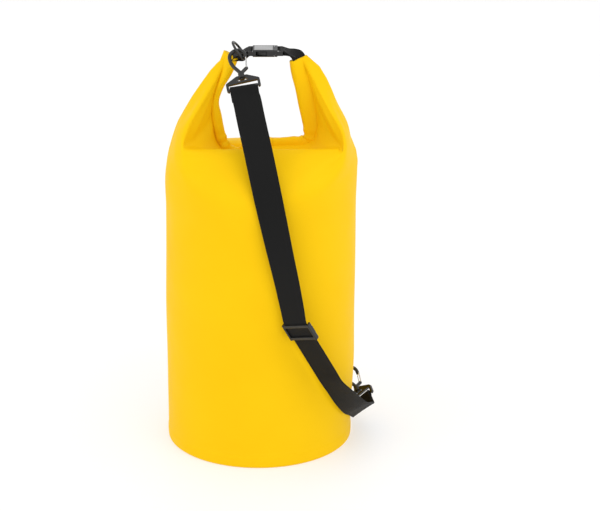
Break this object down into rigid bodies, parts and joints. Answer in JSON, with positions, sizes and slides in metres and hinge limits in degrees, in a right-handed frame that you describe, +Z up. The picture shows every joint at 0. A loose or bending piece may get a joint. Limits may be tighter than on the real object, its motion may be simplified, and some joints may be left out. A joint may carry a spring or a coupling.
{
  "type": "dry bag",
  "caption": "Roll-top dry bag with a round base, a rolled mouth buckled into a carry handle, D-rings and a detachable webbing shoulder strap on swivel snap hooks.",
  "frame": {"origin": "centre of the base's underside, on the ground", "axes": "+Z up, +X to the right seen from the front, -Y the front, where the shoulder strap hangs"},
  "size_m": [0.2936, 0.2935, 0.5726],
  "materials": {
    "tarpaulin": "smooth yellow coated tarpaulin, semi-matte",
    "webbing": "black woven webbing",
    "buckle_plastic": "black moulded plastic, satin",
    "grey_plastic": "light grey moulded plastic",
    "stiffener_plastic": "flexible plastic strip",
    "black_metal": "black coated metal, glossy",
    "gate_wire": "spring steel wire"
  },
  "bodies": {
    "bag": {"bag_tube": "tarpaulin", "base_disc": "tarpaulin", "base_weld_lap": "tarpaulin", "back_seam_tape": "tarpaulin", "middle_roll": "tarpaulin", "middle_roll_stiffener": "stiffener_plastic", "left_roll_arm": "tarpaulin", "left_roll_arm_stiffener": "stiffener_plastic", "left_roll_bend": "tarpaulin", "right_roll_bend": "tarpaulin", "left_ear": "tarpaulin", "right_ear": "tarpaulin", "left_tab_webbing": "webbing", "buckle_socket": "buckle_plastic", "socket_face_plate": "grey_plastic", "anchor_patch": "tarpaulin", "anchor_tab_webbing": "webbing"},
    "right_arm": {"right_roll_arm": "tarpaulin", "right_roll_arm_stiffener": "stiffener_plastic", "right_tab_webbing": "webbing"},
    "plug": {"buckle_plug": "buckle_plastic"},
    "front_prong": {"front_prong": "buckle_plastic"},
    "back_prong": {"back_prong": "buckle_plastic"},
    "top_ring": {"top_d_ring": "black_metal"},
    "bottom_ring": {"bottom_d_ring": "black_metal"},
    "strap": {"shoulder_strap": "webbing", "top_strap_frame": "black_metal", "bottom_strap_frame": "black_metal"},
    "slider": {"strap_slider": "buckle_plastic", "slider_webbing_end": "webbing"},
    "top_hook": {"top_hook_body": "black_metal"},
    "top_gate": {"top_hook_gate": "gate_wire"},
    "bottom_hook": {"bottom_hook_body": "black_metal"},
    "bottom_gate": {"bottom_hook_gate": "gate_wire"}
  },
  "joints": [
    {"name": "right_arm_swing", "type": "hinge", "parent": "bag", "child": "right_arm", "pos_m": [0.0416, 0, 0.445], "axis": [0, 1, 0], "range_deg": [0, 40], "deforming": ["right_ear", "right_roll_bend", "front_prong", "back_prong"]},
    {"name": "plug_level", "type": "hinge", "parent": "right_arm", "child": "plug", "pos_m": [0.0326, 0, 0.559], "axis": [0, 1, 0], "range_deg": [-40, 0]},
    {"name": "front_prong_squeeze", "type": "hinge", "parent": "plug", "child": "front_prong", "pos_m": [0.021, -0.0082, 0.559], "axis": [0, 0, -1], "range_deg": [0, 5]},
    {"name": "back_prong_squeeze", "type": "hinge", "parent": "plug", "child": "back_prong", "pos_m": [0.021, 0.0082, 0.559], "axis": [0, 0, 1], "range_deg": [0, 5]},
    {"name": "top_ring_pivot", "type": "hinge", "parent": "bag", "child": "top_ring", "pos_m": [-0.0192, 0, 0.5525], "axis": [0, 1, 0], "range_deg": [-6, 3]},
    {"name": "bottom_ring_pivot", "type": "hinge", "parent": "bag", "child": "bottom_ring", "pos_m": [0.10878, 0.07961, 0.064], "axis": [0, 0, 1], "range_deg": [-6, 6]},
    {"name": "strap_swing", "type": "hinge", "parent": "bag", "child": "strap", "pos_m": [0.12916, 0.06896, 0.064], "axis": [-0.2934, -0.1622, 0.9421], "range_deg": [0, 6]},
    {"name": "slider_slide", "type": "slide", "parent": "strap", "child": "slider", "axis": [0.4448, 0.2341, -0.8645], "range_m": [0, 0.06]},
    {"name": "top_hook_swivel", "type": "hinge", "parent": "strap", "child": "top_hook", "pos_m": [-0.0264, -0.017, 0.5552], "axis": [-0.1896, 0.7283, 0.6585], "range_deg": [-8, 1]},
    {"name": "top_gate_open", "type": "hinge", "parent": "top_hook", "child": "top_gate", "pos_m": [-0.01422, -0.031, 0.54382], "axis": [-0.1089, -0.6821, 0.7231], "range_deg": [0, 9]},
    {"name": "bottom_hook_swivel", "type": "hinge", "parent": "strap", "child": "bottom_hook", "pos_m": [0.1303, 0.0664, 0.0613], "axis": [-0.3106, 0.8015, 0.511], "range_deg": [-10, 10]},
    {"name": "bottom_gate_open", "type": "hinge", "parent": "bottom_hook", "child": "bottom_gate", "pos_m": [0.14446, 0.05364, 0.05079], "axis": [0.2211, -0.4619, 0.8589], "range_deg": [0, 20]}
  ],
  "couplings": [
    {"joint": "plug_level", "follows": "right_arm_swing", "ratio": -1}
  ]
}
